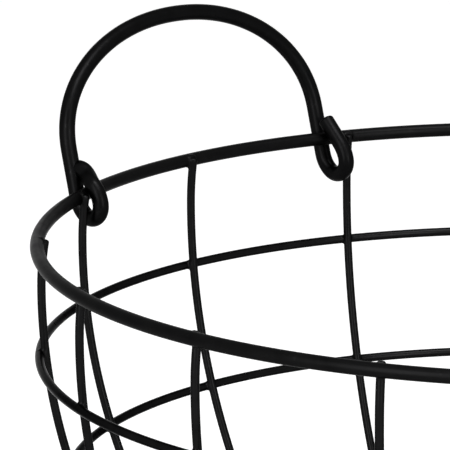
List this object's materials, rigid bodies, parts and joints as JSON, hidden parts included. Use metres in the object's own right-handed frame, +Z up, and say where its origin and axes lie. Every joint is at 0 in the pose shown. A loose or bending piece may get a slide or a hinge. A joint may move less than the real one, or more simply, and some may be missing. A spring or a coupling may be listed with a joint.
{
  "type": "wire fruit basket",
  "caption": "Deep round bowl of welded black wires with thin rings, a thick rim, a foot ring and two swinging bail handles.",
  "frame": {"origin": "under the middle of the bowl, on the surface that the foot ring stands on", "axes": "+Z up along the bowl's axis, X through the two handles, Y along their hinge lines"},
  "size_m": [0.3488, 0.3298, 0.2057],
  "materials": {
    "black_coat": "satin black coat on round steel wire"
  },
  "bodies": {
    "bowl": {"rim_ring": "black_coat", "upper_ring": "black_coat", "middle_ring": "black_coat", "lower_ring": "black_coat", "foot_ring": "black_coat", "centre_ring": "black_coat", "rib_01": "black_coat", "rib_02": "black_coat", "rib_03": "black_coat", "rib_04": "black_coat", "rib_05": "black_coat", "rib_06": "black_coat", "rib_07": "black_coat", "rib_08": "black_coat", "rib_09": "black_coat", "rib_10": "black_coat", "rib_11": "black_coat", "rib_12": "black_coat", "rib_13": "black_coat", "rib_14": "black_coat", "rib_15": "black_coat", "rib_16": "black_coat"},
    "left_handle": {"left_handle": "black_coat"},
    "right_handle": {"right_handle": "black_coat"}
  },
  "joints": [
    {"name": "left_handle_swing", "type": "hinge", "parent": "bowl", "child": "left_handle", "pos_m": [-0.15276, 0, 0.15529], "axis": [0, -1, 0], "range_deg": [-202, 143]},
    {"name": "right_handle_swing", "type": "hinge", "parent": "bowl", "child": "right_handle", "pos_m": [0.15276, 0, 0.15529], "axis": [0, 1, 0], "range_deg": [-202, 143]}
  ]
}
